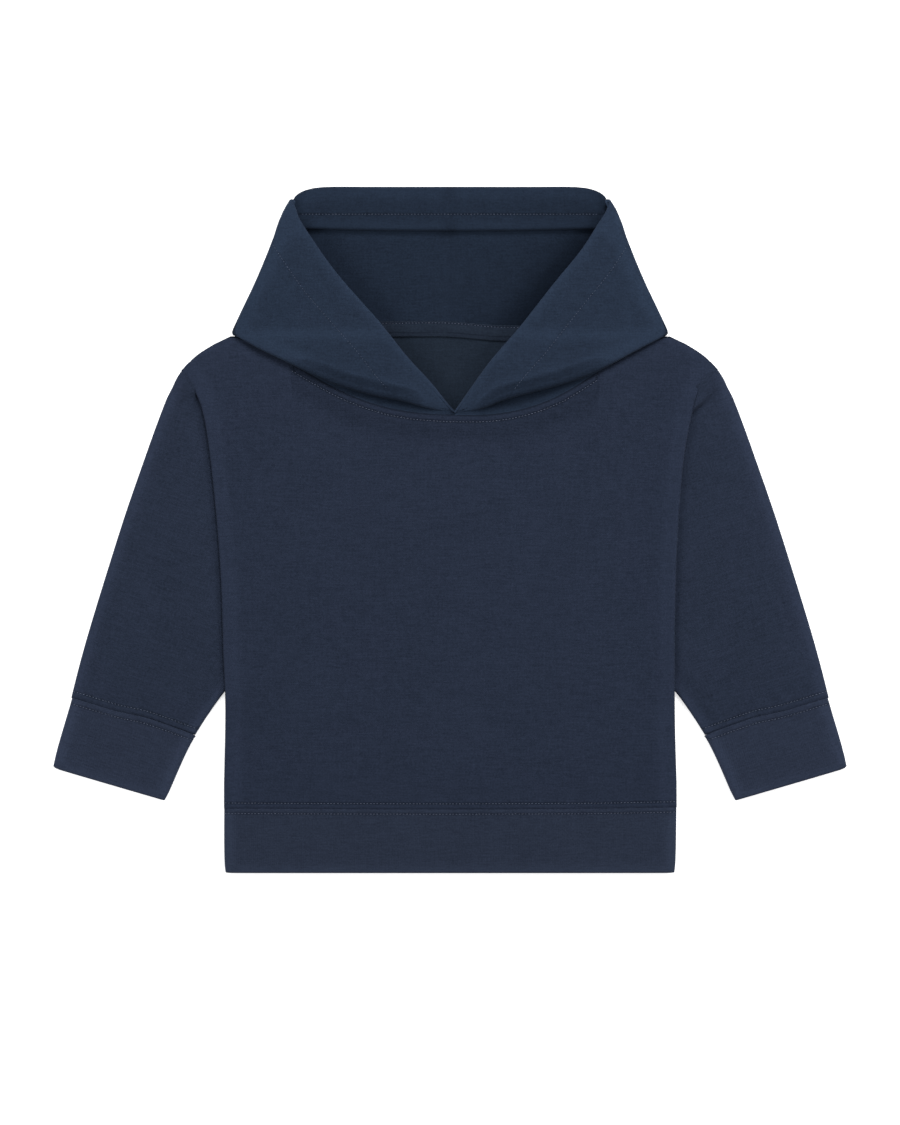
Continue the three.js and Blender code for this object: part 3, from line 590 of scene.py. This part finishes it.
def linear(code):
    """Scene-linear colour of an sRGB hex code."""
    values = [int(code[k:k + 2], 16) / 255 for k in (1, 3, 5)]
    return [v / 12.92 if v <= 0.04045 else ((v + 0.055) / 1.055) ** 2.4 for v in values] + [1]


def add(tree, kind, *values, out=0, inputs=None, **settings):
    """Adds a node with its settings, constants and links, and gives one of its outputs."""
    made = tree.nodes.new("ShaderNode" + kind)
    for key, value in settings.items():
        setattr(made, key, value)
    for entry, value in (inputs or dict(enumerate(values))).items():
        if isinstance(value, bpy.types.NodeSocket):
            tree.links.new(value, made.inputs[entry])
        else:
            made.inputs[entry].default_value = value
    return made.outputs[out]


def surface(name, **constants):
    """A new material, and its shader with constants on the shader's own sockets."""
    material = bpy.data.materials.new(name)
    material.use_nodes = True
    shader = material.node_tree.nodes["Principled BSDF"]
    for words, value in constants.items():
        shader.inputs[words.replace("_", " ")].default_value = value
    return material, shader


def colour_between(tree, tone, dark, light, low, high):
    """A colour between two hex codes, by tone."""
    colour = add(tree, "ValToRGB", tone)
    stops = colour.node.color_ramp.elements
    stops[0].position, stops[1].position = low, high
    stops[0].color, stops[1].color = linear(dark), linear(light)
    return colour


def bell(tree, value, centre, width):
    """A soft bump of height 1 at a distance, width across."""
    offset = add(tree, "Math", value, centre, operation="SUBTRACT")
    share = add(tree, "Math", offset, width / 2, operation="DIVIDE")
    square = add(tree, "Math", share, share, operation="MULTIPLY")
    return add(tree, "Math", math.e, add(tree, "Math", square, -1.0, operation="MULTIPLY"),
               operation="POWER")


# Cloudy patterns of the cloth: size of a patch in mm, its stretch across and along the wales,
# detail, roughness. Real tufts of the nap are under 0.5 mm and real slubs 0.3 mm thick. Both are
# drawn coarser, so that they show.
CLOTH_PATTERNS = {
    "nap": (1.3, (1, 1, 1), 3.0, 0.7),
    "slubs": (0.9, (0.09, 1, 1), 2.0, 0.5),
    "lines": (1.6, (1, 0.12, 1), 2.0, 0.5),
    "cloud": (7.0, (1, 1, 1), 3.0, 0.6),
    "wide": (38.0, (1, 1, 1), 2.0, 0.5),
    "wander": (9.0, (1, 1, 1), 2.0, 0.5),
    "pucker": (2.6, (1, 1, 1), 1.0, 0.5),
}
TONE_SHARES = {"nap": 0.8, "cloud": 0.16, "lines": 0.16, "slubs": 0.38, "wide": 0.12}
HEIGHT_SHARES = {"nap": 0.12, "slubs": 0.06, "cloud": 0.10}

# Real wales are about 0.7 mm apart. They are drawn coarser too.
WALE = 1.05
TAPE_WALE = 0.8
RIB = 1.5
WALE_WANDER = 0.9
WALE_HEIGHT = 0.022
RIB_HEIGHT = 0.015
TONE_START = -0.32
RIM_HIGHLIGHT_WIDTH = 10.0
# How far the painted shade inside the hood lowers its colour, sheen and gloss
PAINTED_SHADE_STRENGTH = 0.3


def knitted_cotton(name, dark, light, grain=0.0, wale=WALE, rib=0.0, rows=(), rim_highlight=0.0,
                   painted_shade_inside=False, sheen=0.08):
    """Cotton sweatshirt jersey or rib, knitted, dyed navy and brushed. The nap scatters the
    light, so the eye sees a matte cloth with a soft mottle, faint upright wales and no gloss."""
    material, shader = surface(
        name, Roughness=0.95, Specular_IOR_Level=0.1, Sheen_Weight=sheen, Sheen_Roughness=0.45,
        Sheen_Tint=linear("#aebbd2"))
    tree = material.node_tree
    place = add(tree, "TexCoord", out="Object")
    cloth = add(tree, "Mapping", inputs={
        "Vector": place, "Rotation": (0, 0, math.radians(grain)), "Scale": (1 / MM,) * 3})
    pattern = {}
    for kind, (size, stretch, detail, rough) in CLOTH_PATTERNS.items():
        stretched = add(tree, "Mapping", inputs={"Vector": cloth, "Scale": stretch})
        pattern[kind] = add(tree, "TexNoise", inputs={
            "Vector": stretched, "Scale": 1 / size, "Detail": detail, "Roughness": rough})

    # Wales that wander a little, with courses that bend them
    split = add(tree, "SeparateXYZ", cloth).node.outputs
    across = add(tree, "Math", pattern["wander"], WALE_WANDER, split["X"], operation="MULTIPLY_ADD")
    course = add(tree, "Math", split["Y"], wale * 0.45, operation="PINGPONG")
    bent = add(tree, "Math", course, 0.5, across, operation="MULTIPLY_ADD")
    wave = add(tree, "Math", add(tree, "Math", bent, math.pi / wale, operation="MULTIPLY"),
               operation="SINE")
    knit = add(tree, "Math", wave, operation="ABSOLUTE")

    # Colour and height: mottle of the nap, streaks along the yarn and slow wide clouds
    tone = TONE_START
    for kind, share in TONE_SHARES.items():
        tone = add(tree, "Math", pattern[kind], share, tone, operation="MULTIPLY_ADD")
    height = add(tree, "Math", knit, WALE_HEIGHT, operation="MULTIPLY")
    for kind, share in HEIGHT_SHARES.items():
        height = add(tree, "Math", pattern[kind], share, height, operation="MULTIPLY_ADD")
    if rib:
        turns = add(tree, "Math", across, 2 * math.pi / rib, operation="MULTIPLY")
        ribs = add(tree, "Math", turns, operation="SINE")
        height = add(tree, "Math", ribs, RIB_HEIGHT, height, operation="MULTIPLY_ADD")
        tone = add(tree, "Math", ribs, RIB_HEIGHT, tone, operation="MULTIPLY_ADD")

    # Sewn lines: a trough under each stitch row and small puckers between it and the seam. Each
    # trough's tone is darkened as painted shade in the groove.
    for attribute, centre, width, depth in rows:
        far = add(tree, "Attribute", out="Fac", attribute_name=attribute)
        trough = bell(tree, far, centre, width)
        swell = bell(tree, far, centre * 0.45, abs(centre) + 2.5)
        raised = add(tree, "Math", pattern["pucker"], swell, operation="MULTIPLY")
        height = add(tree, "Math", trough, -depth, height, operation="MULTIPLY_ADD")
        height = add(tree, "Math", raised, depth * 1.1, height, operation="MULTIPLY_ADD")
        tone = add(tree, "Math", trough, -depth * 1.4, tone, operation="MULTIPLY_ADD")

    # Painted highlight: folded sides are drawn paler, for the light that the rounded folds catch
    if rim_highlight:
        rim = add(tree, "Attribute", out="Fac", attribute_name="from_rim")
        pale = bell(tree, rim, 0.0, RIM_HIGHLIGHT_WIDTH)
        tone = add(tree, "Math", pale, rim_highlight, tone, operation="MULTIPLY_ADD")

    colour = colour_between(tree, tone, dark, light, 0.18, 0.82)

    # Painted shade: cloth deep between the folds is darker in the photo than the soft lamps make it,
    # so its colour, sheen and gloss are lowered there
    if painted_shade_inside:
        deep = add(tree, "Attribute", out="Fac", attribute_name="inside")
        left = add(tree, "Math", deep, -PAINTED_SHADE_STRENGTH, 1.0, operation="MULTIPLY_ADD")
        colour = add(tree, "VectorMath", inputs={0: colour, "Scale": left}, operation="SCALE")
        for socket in ("Sheen Weight", "Specular IOR Level"):
            most = shader.inputs[socket].default_value
            tree.links.new(add(tree, "Math", left, most, operation="MULTIPLY"),
                           shader.inputs[socket])
    bump = add(tree, "Bump", inputs={"Height": height, "Strength": 0.85, "Distance": MM})
    tree.links.new(colour, shader.inputs["Base Color"])
    tree.links.new(bump, shader.inputs["Normal"])
    return material


def sewing_thread():
    """Spun polyester thread, twisted and dyed to match. It is smoother than the brushed cloth,
    so each stitch looks a little glossier. Its colour is drawn paler than the cloth's, a painted
    highlight for the light on the smooth thread."""
    material, shader = surface("spun_polyester_sewing_thread", Roughness=0.55, Sheen_Weight=0.15)
    tree = material.node_tree
    place = add(tree, "TexCoord", out="Object")
    thread = add(tree, "Mapping", inputs={"Vector": place, "Scale": (1 / MM,) * 3})
    mottle = add(tree, "TexNoise", inputs={
        "Vector": thread, "Scale": 1 / 1.4, "Detail": 2.0, "Roughness": 0.5})
    twist = add(tree, "TexWave", out="Fac", inputs={"Vector": thread, "Scale": 0.9},
                bands_direction="DIAGONAL")
    bump = add(tree, "Bump", inputs={"Height": twist, "Strength": 0.4, "Distance": 0.1 * MM})
    # Paler than the cloth: painted highlight on the stitches
    colour = colour_between(tree, mottle, "#293246", "#48536c", 0.0, 1.0)
    tree.links.new(colour, shader.inputs["Base Color"])
    tree.links.new(bump, shader.inputs["Normal"])
    return material


def studio_paper():
    """Matte white background paper, lit so that the eye sees no edge or horizon in it."""
    return surface("matte_white_background_paper", Roughness=0.9, Base_Color=(0.9, 0.9, 0.9, 1),
                   Emission_Color=(1, 1, 1, 1), Emission_Strength=0.6)[0]


# Cloth of each piece

neck = path(NECK_SEAM)
hem = path(HEM_SEAM)
back_neck = path(BACK_NECK_SEAM)
cuffs = {side: path_on_side(CUFF_SEAM, sign) for side, sign in SIDES.items()}
free_edges = {side: path(FREE_EDGE[side]) for side in SIDES}

back = shell("back_panel", "back", levels=0)
front = shell("front_panel", "front")
hem_band = shell("hem_band_cloth", "hem_band")
tape = shell("back_neck_tape", "neck_tape", edge=0.3)
sleeves = {side: shell("sleeve_" + side + "_cloth", "sleeve_" + side, levels=3) for side in SIDES}
cuff_bands = {side: shell("cuff_" + side + "_cloth", "cuff_" + side) for side in SIDES}
hoods = {side: shell("hood_" + side + "_cloth", "hood_" + side) for side in SIDES}

# Creases: x, y, angle, length, width, height of each. Those of sleeves and hood are on the right.
FRONT_CREASES = [
    (-30, 62, 12, 90, 16, -0.3), (52, 58, 168, 80, 14, -0.3), (-118, 84, 60, 60, 12, 0.35),
    (120, 86, 118, 64, 13, 0.35), (-140, -60, 88, 120, 12, -0.3), (142, -40, 93, 130, 12, -0.3),
    (-40, -120, 80, 90, 18, 0.25), (60, -150, 99, 70, 18, 0.25), (10, -20, 86, 130, 22, -0.25),
]
BACK_CREASES = [(3, 105, 90, 44, 5, -0.35), (-14, 112, 84, 30, 6, 0.3)]
SLEEVE_CREASES = [
    (199, 60, 250, 70, 10, -0.45), (215, 10, 246, 90, 12, 0.4), (238, -60, 254, 90, 10, -0.35),
    (196, -112, 216, 50, 9, -0.5), (204, -70, 238, 60, 9, 0.35),
]
HOOD_CREASES = [
    (126, 178, 118, 60, 12, 0.5), (104, 160, 150, 60, 11, -0.5), (88, 132, 160, 70, 12, -0.45),
    (60, 112, 160, 60, 10, 0.4), (118, 205, 112, 50, 9, -0.4), (84, 165, 128, 80, 10, 0.35),
]

crease(front, FRONT_CREASES, 5.0)
crease(back, BACK_CREASES, 0.0)
for side, sign in SIDES.items():
    crease(sleeves[side], creases_on_side(SLEEVE_CREASES, sign), 4.4)
    crease(hoods[side], creases_on_side(HOOD_CREASES, sign), HOOD_REAR_TOP)

# Where the sleeve comes level with the body, above the place where the body folds over it
rise_at_armhole(sleeves["left"], path(ARMHOLE_FOLD["left"]), -1,
                lambda x, out: 95.5 - 1.6 * out,
                lambda x, out: 4 + 1.2 * out)
rise_at_armhole(sleeves["right"], path(ARMHOLE_FOLD["right"]), 1,
                lambda x, out: 82.5 + 0.62 * np.clip(x - 172.3, 0, 18),
                lambda x, out: 2.5 + 0.5 * out)

# Seam allowance that shows through at the top of the right sleeve, fading out at its low end
allowance = path([(189.6, 116), (189.4, 108.6), (188.2, 100), (187.6, 84)])
past_end = np.maximum(84 - points_of(sleeves["right"])[:, 1], 0)
ridge(sleeves["right"], np.hypot(away_from(sleeves["right"], allowance), past_end / 4),
      0.0, 3.0, 0.4, 3.0)

# Corners
for side, sign in SIDES.items():
    square_up(hem_band, (sign * HEM_CORNER[0], HEM_CORNER[1]), reach=5.0)
    meet(hoods[side], path_on_side(HOOD_CORNER, sign), sign, reach=7, overlap=0, most=2.6,
         run_out=(14, 10), below=6.9)
    for x, y in CUFF_CORNERS:
        square_up(cuff_bands[side], (sign * x, y))

# Outer edges and seams: the turned-up allowance is a low ridge beside each seam line
for piece in (front, hem_band):
    away = away_from(piece, hem)
    ridge(piece, away, 1.9, 3.4, 0.45, 3.0)
    ridge(piece, away, 0.0, 1.4, -0.45, 3.0)
ridge(front, away_from(front, neck), -1.9, 3.4, 0.3, 2.5)
for side, sign in SIDES.items():
    meet(front, path_on_side(SHOULDER_EDGE, sign), -sign, reach=9, overlap=0, run_out=(1, 1))
    meet(sleeves[side], path_on_side(SLEEVE_EDGE, sign), -sign, reach=9, overlap=0, most=1.1,
         run_out=(1, 12))
    meet(sleeves[side], cuffs[side], -sign)
    meet(cuff_bands[side], cuffs[side], sign)
    for piece in (sleeves[side], cuff_bands[side]):
        ridge(piece, away_from(piece, cuffs[side]) * -sign, 1.9, 3.4, 0.35, 3.0)
        ridge(piece, away_from(piece, cuffs[side]) * -sign, 0.0, 1.4, -0.4, 3.0)
    points = points_of(hoods[side])
    from_centre = np.where(points[:, 1] < 226, np.abs(points[:, 0]), FAR)
    ridge(hoods[side], from_centre, 0.0, 1.8, -0.35, 0.0)
    ridge(hoods[side], from_centre, 3.0, 3.2, 0.12, 0.0)

# Marks for the sewn lines and the wear
mark_front(front)
mark_hem_band(hem_band)
mark(tape, "from_neck", away_from(tape, back_neck))
for side, sign in SIDES.items():
    mark_arm(side, sign)
    mark_hood(side, sign)

tape_points = points_of(tape)
tape_points[:, 1] += tape_sag(tape_points[:, 0])
set_points(tape, tape_points)

# Stitch rows
neck_row = beside(neck, -NECK_ROW)
neck_row = neck_row[(neck_row[:, 0] > NECK_ROW_ENDS[0]) & (neck_row[:, 0] < NECK_ROW_ENDS[1])]
hood_rows = [beside(free_edges[side], sign * HOOD_HEM_ROW) for side, sign in SIDES.items()]
cuff_rows = [beside(cuffs[side], -sign * distance)
             for side, sign in SIDES.items() for distance in (SLEEVE_ROW, -CUFF_ROW)]
crown_x = np.linspace(-CROWN_ROW_REACH, CROWN_ROW_REACH, 400)
crown_row = np.column_stack([crown_x, np.full(400, CROWN_Y - CROWN_ROW)])
tape_row = beside(back_neck, TAPE_ROW)
tape_row[:, 1] += tape_sag(tape_row[:, 0])
sewing = [
    stitches("neck_topstitch", [neck_row], [front]),
    stitches("hem_stitches", [beside(hem, HEM_ROW_ABOVE), beside(hem, -HEM_ROW_BELOW)],
             [front, hem_band]),
    stitches("cuff_stitches", cuff_rows, [*sleeves.values(), *cuff_bands.values()]),
    stitches("hood_hem_stitches", [row[row[:, 1] > HOOD_HEM_ROW_END] for row in hood_rows],
             list(hoods.values()), thread=0.28, sunk=0.15),
    stitches("crown_hem_stitches", [crown_row], list(hoods.values()), thread=0.34),
    stitches("tape_stitches", [tape_row], [tape], thread=0.34),
]


def cover(piece, material):
    piece.data.materials.append(material)


# Body: the outer face of the sweatshirt jersey, a little darker just below the collar, which is
# painted shadow of the hood
cover(front, knitted_cotton(
    "brushed_cotton_sweatshirt_jersey", "#151c29", "#293143", rim_highlight=0.12,
    rows=[("from_neck", NECK_ROW, 1.8, 0.25), ("from_neck", 0.0, 1.6, 0.3),
          ("from_neck", 12.0, 16.0, 0.09), ("from_hem", HEM_ROW_ABOVE, 1.8, 0.25)]))

# Back: its inner face shows in the V. It is drawn darker and with less sheen: painted shade, for the
# V lies deep between the hood's flaps
cover(back, knitted_cotton(
    "inner_face_of_sweatshirt_jersey_in_painted_shade", "#111822", "#202a37", sheen=0.05))

# Sleeves and cuffs: the wales run down the arm. The cuffs are a fine rib, slightly paler.
for side, sign in SIDES.items():
    cover(sleeves[side], knitted_cotton(
        "brushed_cotton_sweatshirt_jersey_sleeve_" + side, "#151c28", "#2a3244",
        grain=-17 * sign, rim_highlight=0.24, rows=[("from_cuff", SLEEVE_ROW, 1.6, 0.2)]))
    cover(cuff_bands[side], knitted_cotton(
        "fine_cotton_rib_cuff_" + side, "#191f2c", "#2d3547", grain=-17 * sign, rib=RIB,
        rim_highlight=0.24, rows=[("from_cuff", CUFF_ROW, 1.6, 0.2)]))
cover(hem_band, knitted_cotton(
    "fine_cotton_rib_hem_band", "#181e2b", "#2c3445", rib=RIB, rim_highlight=0.24,
    rows=[("from_hem", HEM_ROW_BELOW, 1.6, 0.2)]))

# Hood: the same jersey, a little bluer in the photo, with painted shade where it lies deep in the
# folds
hood_cloth = knitted_cotton(
    "brushed_cotton_sweatshirt_jersey_hood", "#151d2a", "#263244", rim_highlight=0.2, painted_shade_inside=True,
    rows=[("from_free_edge", HOOD_HEM_ROW, 1.6, 0.05), ("from_crown", CROWN_ROW, 1.6, 0.2)])
for side in SIDES:
    cover(hoods[side], hood_cloth)

# Neck tape: a narrow fine jersey binding, flatter than the cloth. It is drawn darker: painted shade,
# for it lies deep in the V between the hood's flaps
cover(tape, knitted_cotton(
    "fine_cotton_jersey_neck_tape", "#121925", "#232c39", wale=TAPE_WALE,
    rows=[("from_neck", TAPE_SEAM_ROW, 1.1, 0.15), ("from_neck", TAPE_ROW, 1.2, 0.2)]))

thread = sewing_thread()
for piece in sewing:
    cover(piece, thread)

# Floor, in metres: just below the cloth, and wide enough to have no edge in a low view
FLOOR_HALF = 40.0
FLOOR_Z = -0.0002

floor_mesh = bpy.data.meshes.new("floor")
floor_mesh.from_pydata(
    [(x * FLOOR_HALF, y * FLOOR_HALF, FLOOR_Z) for x, y in ((-1, -1), (1, -1), (1, 1), (-1, 1))],
    [], [(0, 1, 2, 3)])
floor = placed("floor", floor_mesh)
floor.data.materials.append(studio_paper())


# Soft studio light

def lamp(name, place, size, power):
    """A round soft lamp, aimed at the garment."""
    light = bpy.data.lights.new(name, "AREA")
    light.shape = "DISK"
    light.size = size
    light.energy = power
    made = placed(name, light)
    made.location = place
    made.rotation_euler = (-Vector(place)).to_track_quat("-Z", "Y").to_euler()


lamp("soft_top", (0.4, 1.6, 1.5), 1.1, 35)
lamp("soft_right", (1.9, 0.3, 1.2), 0.8, 18)
lamp("soft_left", (-1.9, 0.0, 1.4), 1.2, 21.5)
world = bpy.data.worlds.new("studio")
world.use_nodes = True
world.node_tree.nodes["Background"].inputs["Color"].default_value = (1, 1, 1, 1)
world.node_tree.nodes["Background"].inputs["Strength"].default_value = 0.405
bpy.context.scene.world = world
bpy.context.scene.view_settings.view_transform = "Standard"

# Camera straight above. The photo is 1125 pixels high, its middle row is 562.5, and the garment's
# origin is on row 530.
MM_PER_PIXEL = 0.7127
PHOTO_ROWS = 1125
ORIGIN_ROW = 530
LENS = 100
SENSOR = 36
FOCUS_HEIGHT = 0.006

photo_height = PHOTO_ROWS * MM_PER_PIXEL * MM
camera_data = bpy.data.cameras.new("camera")
camera_data.lens = LENS
camera_data.sensor_width = SENSOR
camera = placed("camera", camera_data)
camera.location = (0, (ORIGIN_ROW - PHOTO_ROWS / 2) * MM_PER_PIXEL * MM,
                   photo_height * LENS / SENSOR + FOCUS_HEIGHT)
bpy.context.scene.camera = camera
